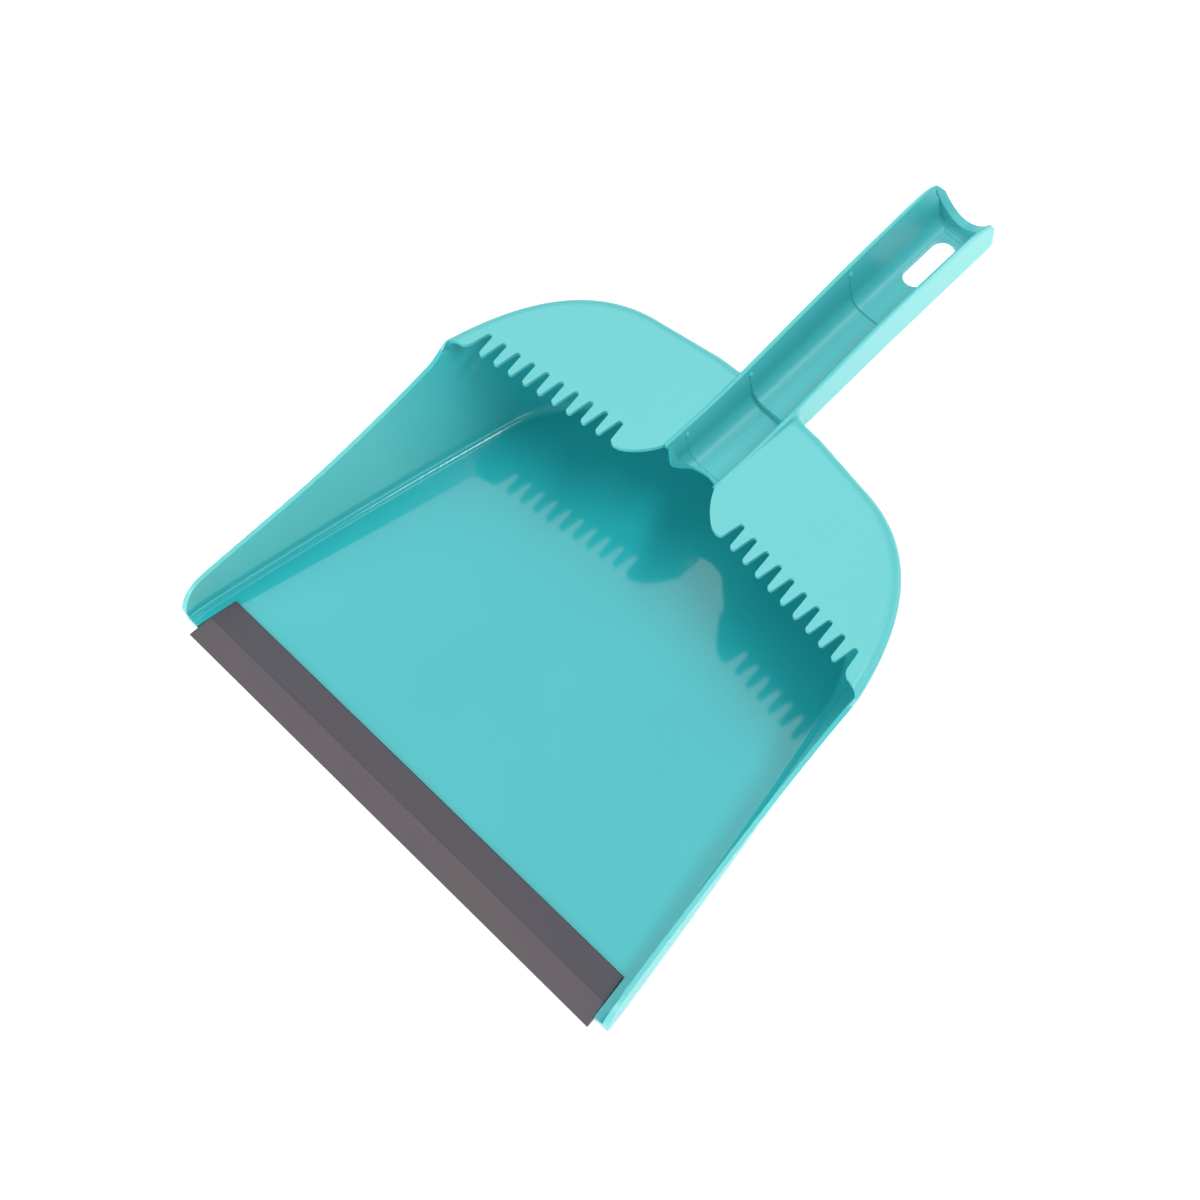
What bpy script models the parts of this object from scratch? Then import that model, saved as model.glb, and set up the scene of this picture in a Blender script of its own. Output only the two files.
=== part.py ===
"""Moulded dustpan with a hooded, comb-edged back and a soft lip along its front edge.

Metres, +Z up.  X runs across the pan, +Y runs from the lip to the handle.
The origin is on the surface the pan rests on, under the middle of its width and length.
The sizes along Y below are measured from the lip's front edge.
"""

import math

import bmesh
import bpy

MM = 0.001

# Clearances
LIP_CLEARANCE = 0.3 * MM

# Overall sizes: length from the lip's front edge to the handle's end, width of the lip, hood height
LENGTH = 313.6 * MM
LIP_WIDTH = 220.0 * MM
HOOD_TOP = 57.0 * MM

# Tray: plan of its outside at the bottom and at the level of the hood
FLOOR_THICKNESS = 2.6 * MM
WALL_THICKNESS = 1.8 * MM
HOOD_THICKNESS = 1.8 * MM
WALL_COVER = 6.6 * MM
WALL_LEAN = 4.4 * MM
BASE_SIDE_SWEEP = 28.4 * MM
TOP_SIDE_SWEEP = 12.7 * MM
BASE_BACK_SWEEP = 73.6 * MM
TOP_BACK_SWEEP = 69.0 * MM
FRONT_Y = 4.0 * MM
BASE_BEND_Y = 150.0 * MM
BASE_BACK_Y = 192.5 * MM
BASE_BACK_BOW = 5.0 * MM
TOP_BEND_Y = 140.0 * MM
TOP_BACK_Y = 209.2 * MM
TOP_BACK_BOW = 5.6 * MM
BASE_SIDE_TAPER = 0.232
TOP_SIDE_TAPER = 0.115
BASE_CORNER_PULL = 23.0 * MM
TOP_CORNER_PULL = 33.5 * MM
CORNER_SIDE_LEAN = 13.5
CORNER_BACK_LEAN = 6.5
BASE_EDGE_RADIUS = 1.6 * MM
HOOD_EDGE_RADIUS = 6.5 * MM
FLOOR_FILLET = 3.0 * MM
HOOD_FILLET = 4.7 * MM
SIDE_STEPS = 6
CORNER_STEPS = 10
FILLET_STEPS = 3

BASE_FRONT_HALF = LIP_WIDTH / 2 + WALL_COVER
TOP_FRONT_HALF = BASE_FRONT_HALF + WALL_LEAN
BASE_BEND = (BASE_FRONT_HALF - BASE_SIDE_SWEEP, BASE_BEND_Y)
BASE_BACK_BEND = (BASE_FRONT_HALF - BASE_BACK_SWEEP, BASE_BACK_Y - BASE_BACK_BOW)
TOP_BEND = (TOP_FRONT_HALF - TOP_SIDE_SWEEP, TOP_BEND_Y)
TOP_BACK_BEND = (TOP_FRONT_HALF - TOP_BACK_SWEEP, TOP_BACK_Y - TOP_BACK_BOW)

# Side rim, seen from the side, from the rounded nose up to the hood's corner: distances along
# the pan, and heights as shares of the hood's height
RIM_NOSE = ((3.0 * MM, 0.077), (5.0 * MM, 0.168), (8.0 * MM, 0.249), (12.0 * MM, 0.302), (18.0 * MM, 0.34))
RIM_SLOPE = ((40.0 * MM, 0.426), (70.0 * MM, 0.542), (100.0 * MM, 0.684), (126.0 * MM, 0.818))
RIM_CORNER_RISE = ((132.0 * MM, 0.856), (136.5 * MM, 0.905), (139.4 * MM, 0.958), (140.4 * MM, 1.007))
RIM_PROFILE = [(y, share * HOOD_TOP) for y, share in RIM_NOSE + RIM_SLOPE + RIM_CORNER_RISE]

# Comb along the hood's front edge; its row runs on to the last whole tooth before the side wall
COMB_PITCH = 7.0 * MM
COMB_FIRST_X = 31.3 * MM
COMB_VALLEY_Y = 160.0 * MM
COMB_SWEEP = 0.12
COMB_END_MARGIN = 13.9 * MM
TOOTH_LENGTH = 9.5 * MM
TOOTH_TIP_RADIUS = 1.25 * MM
VALLEY_RADIUS = 1.25 * MM
COMB_ARC_STEPS = 3
COMB_TEETH = int((TOP_BEND[0] - COMB_END_MARGIN - COMB_FIRST_X) / COMB_PITCH)

# Hood's front edge beside the trough: share of the way across to the comb, distance from its first gap
LOBE_GAP = 2.5 * MM
LOBE_SHAPE = (
    (0.0, 7.0 * MM),
    (0.06, 3.2 * MM),
    (0.2, -0.8 * MM),
    (0.4, -4.8 * MM),
    (0.66, -8.3 * MM),
    (0.88, -9.4 * MM),
    (1.0, -8.4 * MM),
)
# Hood's front edge after the comb, from the last gap
OUTER_LOBE = (
    (2.6 * MM, -8.0 * MM),
    (3.5 * MM, -9.6 * MM),
    (4.9 * MM, -10.6 * MM),
    (6.7 * MM, -11.0 * MM),
    (8.7 * MM, -11.6 * MM),
    (10.2 * MM, -12.2 * MM),
    (11.1 * MM, -13.2 * MM),
    (11.3 * MM, -14.6 * MM),
    (10.6 * MM, -19.0 * MM),
)

# Trough handle.  Its rims rise from the hood along a curve and round over at the tip
HANDLE_HALF = 13.7 * MM
RIM_WIDTH = 1.8 * MM
TROUGH_START_Y = 166.0 * MM
TIP_LENGTH = 20.6 * MM
HANDLE_FLARE = ((0.0, 0.0), (0.65, -0.1 * MM), (0.9, 0.3 * MM), (1.0, 0.5 * MM))
TIP_FLARE = 0.7 * MM
RIM_CURVE = (
    (0.0, 0.2 * MM),
    (0.134, 0.4 * MM),
    (0.268, 1.9 * MM),
    (0.362, 3.8 * MM),
    (0.457, 5.8 * MM),
    (0.551, 7.8 * MM),
    (0.646, 9.6 * MM),
    (0.772, 11.5 * MM),
    (0.906, 13.0 * MM),
    (1.0, 14.0 * MM),
)
TIP_CURVE = ((11.6 * MM, 14.2 * MM), (6.1 * MM, 13.2 * MM), (2.4 * MM, 11.0 * MM), (0.0, 7.2 * MM))
RIM_LENGTH = LENGTH - TIP_LENGTH - TROUGH_START_Y
RIM_HEIGHTS = [(TROUGH_START_Y + share * RIM_LENGTH, HOOD_TOP + rise) for share, rise in RIM_CURVE]
RIM_HEIGHTS += [(LENGTH - before, HOOD_TOP + rise) for before, rise in TIP_CURVE]
RIM_HALVES = [(TROUGH_START_Y + share * RIM_LENGTH, HANDLE_HALF + wider) for share, wider in HANDLE_FLARE]
RIM_HALVES += [(LENGTH, HANDLE_HALF + TIP_FLARE)]

# Inside of the trough, with its cross steps
TROUGH_DEPTH = 18.1 * MM
TROUGH_FLOOR_SLOPE = 0.075
TROUGH_SHELL = 2.2 * MM
END_WALL = 3.6 * MM
END_FILLET = 3.0 * MM
FRONT_STEP = 7.5 * MM
HOOD_STEP = 2.2 * MM
END_STEP = 53.1 * MM
TROUGH_STEPS = (
    (TROUGH_START_Y + FRONT_STEP, 0.4 * MM),
    (TOP_BACK_Y - HOOD_STEP, 3.0 * MM),
    (LENGTH - END_STEP, 0.8 * MM),
)
WALL_DRAFT = 1.2 * MM
INNER_CORNER = 6.5 * MM
OUTER_CORNERS = ((TROUGH_STEPS[1][0], 5.0 * MM), (LENGTH, 9.0 * MM))
FRONT_ARCH = ((1.0, 0.0), (0.81, 2.2 * MM), (0.53, 5.2 * MM), (0.0, 6.6 * MM))
MOUTH_INSET = 1.4 * MM
SADDLE_DROP = 1.0 * MM
SADDLE_RISE = 10.0 * MM
SLOT_HALF_WIDTH = 5.0 * MM
SLOT_LENGTH = 25.0 * MM
SLOT_MARGIN = 4.5 * MM
STEP_INSET = 0.25 * MM
NUB_RADIUS = 1.1 * MM
NUB_DROP = 2.2 * MM
NUB_HEIGHT = 3.0 * MM
END_WALL_Y = LENGTH - END_WALL
MOUTH_HALF = HANDLE_HALF - MOUTH_INSET
INNER_FOOT_HALF = HANDLE_HALF - RIM_WIDTH - WALL_DRAFT

# Soft lip
LIP_TAPER = 3.4 * MM
LIP_BACK_Y = 21.5 * MM
LIP_CREASE_Y = 9.9 * MM
LIP_EDGE_HEIGHT = 0.7 * MM
LIP_PROUD = 0.8 * MM
LIP_CREASE_DROP = 0.5 * MM
TONGUE_FRONT_Y = 8.0 * MM
TONGUE_HEIGHT = 1.3 * MM
LIP_BACK_HEIGHT = FLOOR_THICKNESS + LIP_PROUD
LIP_CREASE_HEIGHT = LIP_BACK_HEIGHT - LIP_CREASE_DROP

# Reach of the cutters past what they cut
REACH = 30.0 * MM


def clear_scene():
    for obj in list(bpy.data.objects):
        bpy.data.objects.remove(obj, do_unlink=True)


def make_material(name, colour, roughness):
    material = bpy.data.materials.new(name)
    material.use_nodes = True
    shader = material.node_tree.nodes["Principled BSDF"]
    shader.inputs["Base Color"].default_value = (*colour, 1.0)
    shader.inputs["Roughness"].default_value = roughness
    shader.inputs["Metallic"].default_value = 0.0
    return material


def join_pair(mesh, corners):
    """Two triangles between four corners, split the same way on both sides of the middle plane."""
    a, b, c, d = corners
    if sum(corner.co.x for corner in corners) >= 0.0:
        mesh.faces.new((a, b, c))
        mesh.faces.new((a, c, d))
    else:
        mesh.faces.new((a, b, d))
        mesh.faces.new((b, c, d))


def solid_from_rings(name, rings):
    """A closed solid through rings that have the same number of points."""
    mesh = bmesh.new()
    loops = [[mesh.verts.new((x, y - LENGTH / 2, z)) for x, y, z in ring] for ring in rings]
    count = len(loops[0])
    for lower, upper in zip(loops, loops[1:]):
        for i in range(count):
            j = (i + 1) % count
            join_pair(mesh, (lower[i], lower[j], upper[j], upper[i]))
    mesh.faces.new(list(reversed(loops[0])))
    mesh.faces.new(loops[-1])
    bmesh.ops.recalc_face_normals(mesh, faces=mesh.faces)
    data = bpy.data.meshes.new(name)
    mesh.to_mesh(data)
    mesh.free()
    obj = bpy.data.objects.new(name, data)
    bpy.context.collection.objects.link(obj)
    return obj


def hide_as_tool(obj):
    obj.hide_render = True
    obj.display_type = "WIRE"


def combine(obj, tool, operation):
    modifier = obj.modifiers.new(tool.name, "BOOLEAN")
    modifier.object = tool
    modifier.operation = operation
    modifier.solver = "EXACT"
    hide_as_tool(tool)


def bezier(start, start_pull, end_pull, end, steps):
    points = []
    for i in range(steps + 1):
        t = i / steps
        weights = ((1 - t) ** 3, 3 * t * (1 - t) ** 2, 3 * t * t * (1 - t), t ** 3)
        corners = (start, start_pull, end_pull, end)
        points.append(tuple(sum(w * c[k] for w, c in zip(weights, corners)) for k in range(2)))
    return points


def half_plan(front_half, taper, bend, back_bend, back_y, pull):
    """The right half of the tray's plan, from the front to the middle of the back."""
    length = bend[1] - FRONT_Y
    bow = front_half - bend[0] - taper * length
    side = []
    for i in range(SIDE_STEPS):
        t = 1 - i / SIDE_STEPS
        side.append((bend[0] + taper * length * t + bow * t * t, bend[1] - length * t))
    lean = math.radians(CORNER_SIDE_LEAN)
    start_pull = (bend[0] - pull * math.sin(lean), bend[1] + pull * math.cos(lean))
    lean = math.radians(CORNER_BACK_LEAN)
    end_pull = (back_bend[0] + pull * math.cos(lean), back_bend[1] - pull * math.sin(lean))
    corner = bezier(bend, start_pull, end_pull, back_bend, CORNER_STEPS)
    return side + corner + [(0.0, back_y)]


BASE_PLAN = half_plan(
    BASE_FRONT_HALF, BASE_SIDE_TAPER, BASE_BEND, BASE_BACK_BEND, BASE_BACK_Y, BASE_CORNER_PULL
)
TOP_PLAN = half_plan(
    TOP_FRONT_HALF, TOP_SIDE_TAPER, TOP_BEND, TOP_BACK_BEND, TOP_BACK_Y, TOP_CORNER_PULL
)


def inset_half(points, distance):
    """Moves a half plan inwards, keeping its last point on the middle plane."""
    moved = []
    for i, (x, y) in enumerate(points):
        before = points[max(i - 1, 0)]
        after = points[min(i + 1, len(points) - 1)]
        dx = after[0] - before[0]
        dy = after[1] - before[1]
        if i == len(points) - 1:
            dx, dy = -1.0, 0.0
        length = math.hypot(dx, dy)
        moved.append((x - distance * dy / length, y + distance * dx / length))
    return moved


def tray_ring(height, inset, front_y):
    """One level of the tray: its plan at a height, moved inwards, with a straight front."""
    blend = height / HOOD_TOP
    plan = [
        (b[0] + (t[0] - b[0]) * blend, b[1] + (t[1] - b[1]) * blend)
        for b, t in zip(BASE_PLAN, TOP_PLAN)
    ]
    plan = inset_half(plan, inset)
    plan[0] = (plan[0][0], front_y)
    right = [(x, y, height) for x, y in plan]
    left = [(-x, y, height) for x, y in reversed(plan[:-1])]
    return right + left


def quarter(radius, steps):
    """Insets and rises along a quarter circle, from its foot to its side."""
    angles = [math.pi / 2 * i / steps for i in range(steps + 1)]
    return [(radius * (1 - math.sin(a)), radius * (1 - math.cos(a))) for a in angles]


def tray_block():
    rings = [tray_ring(rise, inset, FRONT_Y) for inset, rise in quarter(BASE_EDGE_RADIUS, 1)]
    for inset, drop in reversed(quarter(HOOD_EDGE_RADIUS, FILLET_STEPS)):
        rings.append(tray_ring(HOOD_TOP - drop, inset, FRONT_Y))
    return solid_from_rings("pan", rings)


def tray_cavity():
    front = FRONT_Y - REACH
    rings = []
    for inset, rise in quarter(FLOOR_FILLET, FILLET_STEPS):
        rings.append(tray_ring(FLOOR_THICKNESS + rise, WALL_THICKNESS + inset, front))
    ceiling = HOOD_TOP - HOOD_THICKNESS
    for inset, drop in reversed(quarter(HOOD_FILLET, 2)):
        rings.append(tray_ring(ceiling - drop, WALL_THICKNESS + inset, front))
    return solid_from_rings("tray_cavity", rings)


def rim_cutter():
    """Takes away what stands above the side rims, ahead of the hood."""
    front = RIM_PROFILE[0][0]
    side = [(front - REACH, HOOD_TOP + REACH), (front - REACH, -REACH), (front, -REACH)]
    side += list(RIM_PROFILE)
    side += [(RIM_PROFILE[-1][0], HOOD_TOP + REACH)]
    half = TOP_FRONT_HALF + REACH
    return solid_from_rings("rim_cutter", [[(x, y, z) for y, z in side] for x in (-half, half)])


def valley_y(x):
    return COMB_VALLEY_Y - COMB_SWEEP * (x - COMB_FIRST_X)


def arc(centre, radius, start, end, steps):
    angles = [math.radians(start + (end - start) * i / steps) for i in range(steps + 1)]
    return [(centre[0] + radius * math.cos(a), centre[1] + radius * math.sin(a)) for a in angles]


def lobe_outline():
    """The rounded edge beside the trough's mouth, up to the comb's first gap."""
    width = COMB_FIRST_X - LOBE_GAP - MOUTH_HALF
    return [(MOUTH_HALF + share * width, COMB_VALLEY_Y + y) for share, y in LOBE_SHAPE]


def comb_edge():
    """The right half of the hood's front edge, from the trough out to the side wall."""
    edge = lobe_outline()
    for i in range(COMB_TEETH + 1):
        x = COMB_FIRST_X + COMB_PITCH * i
        centre = (x, valley_y(x) - VALLEY_RADIUS)
        edge += arc(centre, VALLEY_RADIUS, 170, 10, COMB_ARC_STEPS)
        if i < COMB_TEETH:
            x += COMB_PITCH / 2
            centre = (x, valley_y(x) - TOOTH_LENGTH + TOOTH_TIP_RADIUS)
            edge += arc(centre, TOOTH_TIP_RADIUS, 190, 350, COMB_ARC_STEPS)
    x = COMB_FIRST_X + COMB_PITCH * COMB_TEETH
    return edge + [(x + across, valley_y(x) + ahead) for across, ahead in OUTER_LOBE]


def hood_front_cutter():
    edge = comb_edge()
    front = RIM_PROFILE[-1][0] - REACH
    right = edge + [(edge[-1][0], front)]
    plan = right + [(-x, y) for x, y in reversed(right)]
    low = HOOD_TOP - HOOD_THICKNESS - HOOD_FILLET
    heights = (low, HOOD_TOP + REACH)
    return solid_from_rings("hood_front_cutter", [[(x, y, z) for x, y in plan] for z in heights])


def along(table, y):
    """Straight-line value of a (y, value) table."""
    if y <= table[0][0]:
        return table[0][1]
    for (y0, v0), (y1, v1) in zip(table, table[1:]):
        if y <= y1:
            return v0 + (v1 - v0) * (y - y0) / (y1 - y0)
    return table[-1][1]


def trough_floor(y, steps_passed):
    """Height of the trough's inner floor, after the given number of cross steps."""
    rise = sum(height for _, height in TROUGH_STEPS[:steps_passed])
    slope = max(0.0, y - TROUGH_STEPS[1][0]) * TROUGH_FLOOR_SLOPE
    return HOOD_TOP - TROUGH_DEPTH + rise + slope


def u_section(y, top_half, foot_half, corner, top, bottom, steps):
    """A U section across the trough, filled up to its rims."""
    right = [(top_half, top)]
    right += [
        (foot_half - corner * (1 - math.cos(a)), bottom + corner * (1 - math.sin(a)))
        for a in (math.pi / 2 * i / steps for i in range(steps + 1))
    ]
    section = right + [(-x, z) for x, z in reversed(right)]
    return [(x, y, z) for x, z in section]


def handle_block():
    rings = []
    drop = TROUGH_STEPS[1][0]
    stations = [TROUGH_START_Y - TROUGH_SHELL, drop, drop + TROUGH_SHELL]
    stations += [y for y, _ in RIM_HEIGHTS]
    for y in sorted(stations):
        passed = 2 if y > drop else 1
        bottom = trough_floor(y, passed) - TROUGH_SHELL
        half = along(RIM_HALVES, y)
        corner = along(OUTER_CORNERS, y)
        rings.append(u_section(y, half, half, corner, along(RIM_HEIGHTS, y), bottom, 4))
    return solid_from_rings("handle_block", rings)


def trough_cutters():
    starts = [COMB_VALLEY_Y - REACH] + [y for y, _ in TROUGH_STEPS]
    ends = [y for y, _ in TROUGH_STEPS] + [END_WALL_Y]
    cutters = []
    for i, end in enumerate(ends):
        start = starts[i] if i == 0 else starts[i] - TROUGH_SHELL
        foot_half = INNER_FOOT_HALF - STEP_INSET * i
        rings = []
        for y in (start, end):
            floor = trough_floor(y, i)
            top = HOOD_TOP + REACH
            wall = along(RIM_HEIGHTS, y) - floor - INNER_CORNER
            lean = (along(RIM_HALVES, y) - RIM_WIDTH - foot_half) / wall
            top_half = foot_half + lean * (top - floor - INNER_CORNER)
            rings.append(u_section(y, top_half, foot_half, INNER_CORNER, top, floor, 3))
        cutters.append(solid_from_rings("trough_cutter_%d" % i, rings))
    return cutters


def trough_front_cutter():
    """Shapes the trough's front end into a shallow arch."""
    arch = [(share * MOUTH_HALF, TROUGH_START_Y + y) for share, y in FRONT_ARCH]
    right = [(HANDLE_HALF + TROUGH_SHELL, arch[0][1])] + arch
    left = [(-x, y) for x, y in reversed(right[:-1])]
    front = COMB_VALLEY_Y - REACH
    plan = right + left + [(left[-1][0], front), (right[0][0], front)]
    heights = (HOOD_TOP - TROUGH_DEPTH - HOOD_FILLET, HOOD_TOP - HOOD_THICKNESS)
    return solid_from_rings("trough_front_cutter", [[(x, y, z) for x, y in plan] for z in heights])


def end_fillet():
    """Rounds the inside corner between the trough's floor and its end wall."""
    floor = trough_floor(END_WALL_Y, len(TROUGH_STEPS))
    behind = END_WALL_Y + END_WALL / 2
    below = floor - TROUGH_SHELL / 2
    centre = (END_WALL_Y - END_FILLET, floor + END_FILLET)
    section = [(behind, below), (behind, centre[1])] + arc(centre, END_FILLET, 0, -90, FILLET_STEPS)
    section += [(centre[0], below)]
    half = INNER_FOOT_HALF
    return solid_from_rings("end_fillet", [[(x, y, z) for y, z in section] for x in (-half, half)])


def saddle_cutter():
    """Scoops the top of the handle's end wall."""
    half = RIM_HALVES[-1][1] - RIM_WIDTH
    steps = 8
    bowl = []
    for i in range(steps + 1):
        x = half * (1 - 2 * i / steps)
        bowl.append((x, HOOD_TOP - SADDLE_DROP + SADDLE_RISE * (x / half) ** 2))
    section = bowl + [(-half, HOOD_TOP + REACH), (half, HOOD_TOP + REACH)]
    start = END_WALL_Y - TROUGH_SHELL / 2
    ends = (start, RIM_HEIGHTS[-1][0] + REACH)
    return solid_from_rings("saddle_cutter", [[(x, y, z) for x, z in section] for y in ends])


def slot_cutter():
    end = END_WALL_Y - SLOT_MARGIN
    near = (0.0, end - SLOT_LENGTH + SLOT_HALF_WIDTH)
    far = (0.0, end - SLOT_HALF_WIDTH)
    plan = arc(far, SLOT_HALF_WIDTH, 0, 180, 8) + arc(near, SLOT_HALF_WIDTH, 180, 360, 8)
    heights = (HOOD_TOP - TROUGH_DEPTH - TROUGH_SHELL, HOOD_TOP)
    return solid_from_rings("slot_cutter", [[(x, y, z) for x, y in plan] for z in heights])


def trough_nub(index, y, side):
    """A small upright bead where a cross step or the end wall meets the inside of a rim."""
    top = along(RIM_HEIGHTS, y) - NUB_DROP
    x = side * (along(RIM_HALVES, y) - RIM_WIDTH)
    rings = []
    for z in (top - NUB_HEIGHT, top):
        rings.append([(px, py, z) for px, py in arc((x, y), NUB_RADIUS, 0, 315, 7)])
    return solid_from_rings("trough_nub_%d" % index, rings)


def lip_half(y):
    return LIP_WIDTH / 2 - LIP_TAPER * y / LIP_BACK_Y


def lip_prism(name, profile, clearance):
    """A solid with a (y, z) side profile, between the two side walls."""
    rings = []
    for side in (-1, 1):
        rings.append([(side * (lip_half(y) + clearance), y, z) for y, z in profile])
    return solid_from_rings(name, rings)


def lip_recess_cutter():
    profile = (
        (FRONT_Y - REACH, -REACH),
        (TONGUE_FRONT_Y, -REACH),
        (TONGUE_FRONT_Y, TONGUE_HEIGHT),
        (LIP_BACK_Y, TONGUE_HEIGHT),
        (LIP_BACK_Y, REACH),
        (FRONT_Y - REACH, REACH),
    )
    return lip_prism("lip_recess_cutter", profile, LIP_CLEARANCE)


def build_lip(material):
    back = LIP_BACK_Y - LIP_CLEARANCE
    foot = TONGUE_FRONT_Y - LIP_CLEARANCE
    seat = TONGUE_HEIGHT + LIP_CLEARANCE
    profile = (
        (0.0, 0.0),
        (foot, 0.0),
        (foot, seat),
        (back, seat),
        (back, LIP_BACK_HEIGHT),
        (LIP_CREASE_Y, LIP_CREASE_HEIGHT),
        (0.0, LIP_EDGE_HEIGHT),
    )
    lip = lip_prism("rubber_lip", profile, 0.0)
    lip.data.materials.append(material)
    return lip


def build_pan(material):
    pan = tray_block()
    combine(pan, tray_cavity(), "DIFFERENCE")
    combine(pan, rim_cutter(), "DIFFERENCE")
    combine(pan, hood_front_cutter(), "DIFFERENCE")
    combine(pan, handle_block(), "UNION")
    combine(pan, trough_front_cutter(), "DIFFERENCE")
    for cutter in trough_cutters():
        combine(pan, cutter, "DIFFERENCE")
    combine(pan, end_fillet(), "UNION")
    combine(pan, saddle_cutter(), "DIFFERENCE")
    combine(pan, slot_cutter(), "DIFFERENCE")
    combine(pan, lip_recess_cutter(), "DIFFERENCE")
    index = 0
    for y in [y for y, _ in TROUGH_STEPS] + [END_WALL_Y]:
        for side in (-1, 1):
            combine(pan, trough_nub(index, y, side), "UNION")
            index += 1
    pan.data.materials.append(material)
    pan.data.shade_smooth()
    pan.data.set_sharp_from_angle(angle=math.radians(35))
    return pan


def main():
    clear_scene()
    build_pan(make_material("aqua_plastic", (0.10, 0.55, 0.55), 0.25))
    build_lip(make_material("grey_rubber", (0.13, 0.12, 0.13), 0.6))


main()
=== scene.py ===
"""Moulded dustpan with a comb-edged hood, a trough handle and a soft lip, in a plain studio.

Metres, +Z up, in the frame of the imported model: X runs across the pan and +Y from the lip to
the handle.  Sizes along the pan are measured from the lip's front edge.
"""

import math

import bmesh
import bpy
from bpy.props import FloatProperty, FloatVectorProperty, IntProperty, PointerProperty
from mathutils import Matrix, Vector


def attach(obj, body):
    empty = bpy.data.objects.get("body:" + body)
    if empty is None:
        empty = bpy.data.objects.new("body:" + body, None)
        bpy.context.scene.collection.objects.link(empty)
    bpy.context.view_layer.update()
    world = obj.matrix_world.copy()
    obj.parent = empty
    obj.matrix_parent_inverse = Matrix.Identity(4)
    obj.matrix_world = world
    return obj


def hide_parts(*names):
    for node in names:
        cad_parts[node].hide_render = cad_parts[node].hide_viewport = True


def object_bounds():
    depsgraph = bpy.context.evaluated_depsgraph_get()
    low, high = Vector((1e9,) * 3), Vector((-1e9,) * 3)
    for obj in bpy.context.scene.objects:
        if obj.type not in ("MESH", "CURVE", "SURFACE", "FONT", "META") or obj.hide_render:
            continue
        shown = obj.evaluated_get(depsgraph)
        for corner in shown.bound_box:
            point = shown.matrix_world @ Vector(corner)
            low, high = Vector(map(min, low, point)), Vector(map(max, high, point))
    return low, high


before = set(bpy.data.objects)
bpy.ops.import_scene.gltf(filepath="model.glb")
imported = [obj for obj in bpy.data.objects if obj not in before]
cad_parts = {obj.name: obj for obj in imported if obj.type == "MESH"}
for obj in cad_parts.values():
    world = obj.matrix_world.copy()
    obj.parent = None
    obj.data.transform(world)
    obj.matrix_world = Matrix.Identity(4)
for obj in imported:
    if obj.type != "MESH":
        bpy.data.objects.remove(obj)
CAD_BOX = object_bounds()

bl_info = {
    "name": "Comb-edged dustpan",
    "version": (1, 0, 0),
    "blender": (4, 5, 0),
    "location": "3D View > Sidebar > Dustpan",
    "description": "Builds a moulded dustpan with a soft lip, and its studio",
    "category": "Object",
}

MM = 0.001
LIP_FRONT = CAD_BOX[0].y

# How the solids are cut: how far a cutter reaches past the surface, how fine the curves are,
# and how far a joined fillet stays clear of the surfaces that it runs into
REACH = 30 * MM
CURVE_STEPS = 4
ARC_STEPS = 6
EDGE_STEPS = 5
CORNER_ARC_STEPS = 10
SECTION_STEP = 3 * MM
WELD_DISTANCE = 0.004 * MM
ROOT_DROP = 0.03 * MM
FILLET_BITE = 0.06 * MM

# Tray plan: where its sides bend into the back corners, at the bottom and at the hood
BASE_BEND = (88.2 * MM, 150.0 * MM)
BASE_BACK_BEND = (43.0 * MM, 187.5 * MM)
TOP_BEND = (108.3 * MM, 140.0 * MM)
TOP_BACK_BEND = (52.0 * MM, 203.6 * MM)
BASE_SIDE_TAPER = 0.232
TOP_SIDE_TAPER = 0.115
BASE_CORNER_PULL = 23.0 * MM
TOP_CORNER_PULL = 33.5 * MM
CORNER_SIDE_LEAN = 13.5
CORNER_BACK_LEAN = 6.5
SIDE_STEPS = 22
CORNER_STEPS = 34
FILLET_STEPS = 9

# Side rim seen from the side, from the rounded nose up to the hood's corner
RIM_PROFILE = (
    (3.0 * MM, 4.4 * MM),
    (5.0 * MM, 9.6 * MM),
    (8.0 * MM, 14.2 * MM),
    (12.0 * MM, 17.2 * MM),
    (18.0 * MM, 19.4 * MM),
    (40.0 * MM, 24.3 * MM),
    (70.0 * MM, 30.9 * MM),
    (100.0 * MM, 39.0 * MM),
    (126.0 * MM, 46.6 * MM),
    (132.0 * MM, 48.8 * MM),
    (136.5 * MM, 51.6 * MM),
    (139.4 * MM, 54.6 * MM),
    (140.4 * MM, 57.4 * MM),
)

# Hood's front edge beside the trough, and where it meets the side wall
LOBE_OUTLINE = (
    (12.3 * MM, 167.0 * MM),
    (13.3 * MM, 163.2 * MM),
    (15.6 * MM, 159.2 * MM),
    (18.9 * MM, 155.2 * MM),
    (23.2 * MM, 151.7 * MM),
    (26.8 * MM, 150.6 * MM),
    (28.8 * MM, 151.6 * MM),
)
OUTER_LOBE = (
    (96.9 * MM, 144.4 * MM),
    (97.8 * MM, 142.8 * MM),
    (99.2 * MM, 141.8 * MM),
    (101.0 * MM, 141.4 * MM),
    (103.0 * MM, 140.8 * MM),
    (104.5 * MM, 140.2 * MM),
    (105.4 * MM, 139.2 * MM),
    (105.6 * MM, 137.8 * MM),
    (104.9 * MM, 133.4 * MM),
)

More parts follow.
